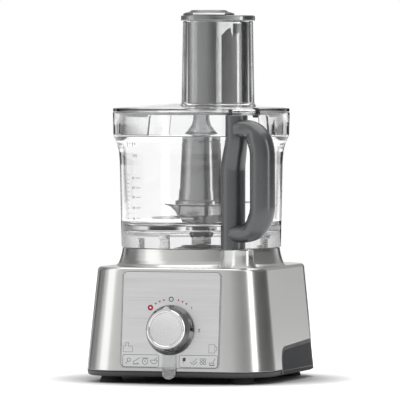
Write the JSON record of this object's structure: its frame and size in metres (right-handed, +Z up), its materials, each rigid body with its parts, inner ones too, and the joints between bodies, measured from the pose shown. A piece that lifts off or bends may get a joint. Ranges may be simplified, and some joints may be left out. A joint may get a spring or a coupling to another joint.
{
  "type": "food processor",
  "caption": "Compact food processor: silver motor base with a dial, clear bowl with a side handle, clear lid with a feed tube and pusher, and a two-blade knife.",
  "frame": {"origin": "on the spindle axis, at the level that the feet stand on, which is the middle of the object's footprint to within 3 mm", "axes": "+Z up along the spindle, -Y to the front with the dial, +X to the handle's side"},
  "size_m": [0.2187, 0.2649, 0.405],
  "materials": {
    "silver_housing": "satin metallic silver",
    "brushed_panel": "brushed across",
    "dial_chrome": "polished",
    "dial_satin": "spun pearl silver",
    "clear_lens": "clear",
    "plinth_dark": "satin moulded",
    "foot_rubber": "matt",
    "screw_steel": "plated",
    "shaft_steel": "ground",
    "lamination": "varnished stack",
    "copper_winding": "enamelled copper",
    "bush_brass": "sintered",
    "cast_frame": "pressed",
    "black_plastic": "moulded",
    "black_rubber": "matt",
    "board_green": "circuit board",
    "dark_plastic": "satin moulded",
    "clear_bowl": "clear",
    "handle_grey": "satin moulded",
    "hub_grey": "gloss moulded",
    "blade_steel": "ground and polished",
    "clear_lid": "clear",
    "smoked_bell": "translucent",
    "seal_rubber": "matt",
    "pusher_grey": "satin translucent",
    "cap_grey": "satin"
  },
  "bodies": {
    "base": {"base_housing": "silver_housing", "base_plinth": "plinth_dark", "control_panel": "brushed_panel", "status_lens": "clear_lens", "cord_gland": "foot_rubber", "foot_front_left": "foot_rubber", "foot_front_right": "foot_rubber", "foot_rear_left": "foot_rubber", "foot_rear_right": "foot_rubber", "base_screw_1": "screw_steel", "base_screw_2": "screw_steel", "base_screw_3": "screw_steel", "base_screw_4": "screw_steel", "rotary_switch": "black_plastic", "motor_stator": "lamination", "field_coil_front": "copper_winding", "field_coil_rear": "copper_winding", "motor_bolt_left": "screw_steel", "motor_bolt_right": "screw_steel", "motor_top_bracket": "cast_frame", "motor_bush_lower": "bush_brass", "motor_bush_upper": "bush_brass", "brush_holder_left": "bush_brass", "brush_holder_right": "bush_brass", "drive_frame": "cast_frame", "spindle_bearing_lower": "shaft_steel", "spindle_bearing_upper": "shaft_steel", "spindle_seal": "black_rubber", "drive_belt": "black_rubber", "filter_board": "board_green", "interlock_switch": "black_plastic", "interlock_spring": "screw_steel"},
    "dial": {"dial_body": "dial_chrome", "dial_cap": "dial_satin", "dial_shaft": "screw_steel"},
    "output_drive": {"output_spindle": "shaft_steel", "driven_pulley": "black_plastic", "drive_coupling": "black_plastic", "drive_shaft": "dark_plastic"},
    "rotor": {"motor_shaft": "shaft_steel", "armature_core": "lamination", "commutator": "copper_winding", "motor_pulley": "shaft_steel", "cooling_fan": "black_plastic"},
    "plunger": {"interlock_plunger": "dark_plastic"},
    "bowl": {"bowl": "clear_bowl", "bowl_handle": "handle_grey"},
    "interlock_rod": {"interlock_rod": "black_plastic"},
    "knife": {"knife_hub": "hub_grey", "blade_upper": "blade_steel", "blade_lower": "blade_steel"},
    "lid_seal": {"lid_seal": "seal_rubber"},
    "lid": {"lid": "clear_lid", "lid_bearing": "smoked_bell"},
    "large_pusher": {"large_pusher": "pusher_grey"},
    "small_pusher": {"small_pusher": "pusher_grey", "small_pusher_cap": "cap_grey"}
  },
  "joints": [
    {"name": "dial_turn", "type": "hinge", "parent": "base", "child": "dial", "pos_m": [0, -0.1141, 0.0585], "axis": [0, -0.9952, 0.098], "range_deg": [-90, 45]},
    {"name": "spindle_spin", "type": "hinge", "parent": "base", "child": "output_drive", "pos_m": [0, 0, 0.1], "axis": [0, 0, 1], "continuous": true},
    {"name": "motor_spin", "type": "hinge", "parent": "base", "child": "rotor", "pos_m": [0, 0.068, 0.066], "axis": [0, 0, 1], "continuous": true},
    {"name": "plunger_slide", "type": "slide", "parent": "base", "child": "plunger", "axis": [0, 0, 1], "range_m": [0, 0.004], "deforming": ["interlock_spring"]},
    {"name": "bowl_lift", "type": "slide", "parent": "base", "child": "bowl", "axis": [0, 0, 1], "range_m": [0, 0.12]},
    {"name": "rod_slide", "type": "slide", "parent": "bowl", "child": "interlock_rod", "axis": [0, 0, 1], "range_m": [0, 0.004]},
    {"name": "blade_spin", "type": "hinge", "parent": "bowl", "child": "knife", "pos_m": [0, 0, 0.2], "axis": [0, 0, 1], "continuous": true},
    {"name": "lid_lift", "type": "slide", "parent": "bowl", "child": "lid_seal", "axis": [0, 0, 1], "range_m": [0, 0.045]},
    {"name": "lid_turn", "type": "hinge", "parent": "lid_seal", "child": "lid", "pos_m": [0, 0, 0.296], "axis": [0, 0, 1], "range_deg": [0, 30]},
    {"name": "pusher_lift", "type": "slide", "parent": "lid", "child": "large_pusher", "axis": [0, 0, 1], "range_m": [0, 0.1]},
    {"name": "small_pusher_lift", "type": "slide", "parent": "large_pusher", "child": "small_pusher", "axis": [0, 0, 1], "range_m": [0, 0.09]}
  ],
  "couplings": [
    {"joint": "motor_spin", "follows": "spindle_spin", "ratio": 3.619},
    {"joint": "blade_spin", "follows": "spindle_spin", "ratio": 1},
    {"joint": "plunger_slide", "follows": "lid_turn", "m_per_rad": 0.0076},
    {"joint": "rod_slide", "follows": "lid_turn", "m_per_rad": 0.0076}
  ]
}
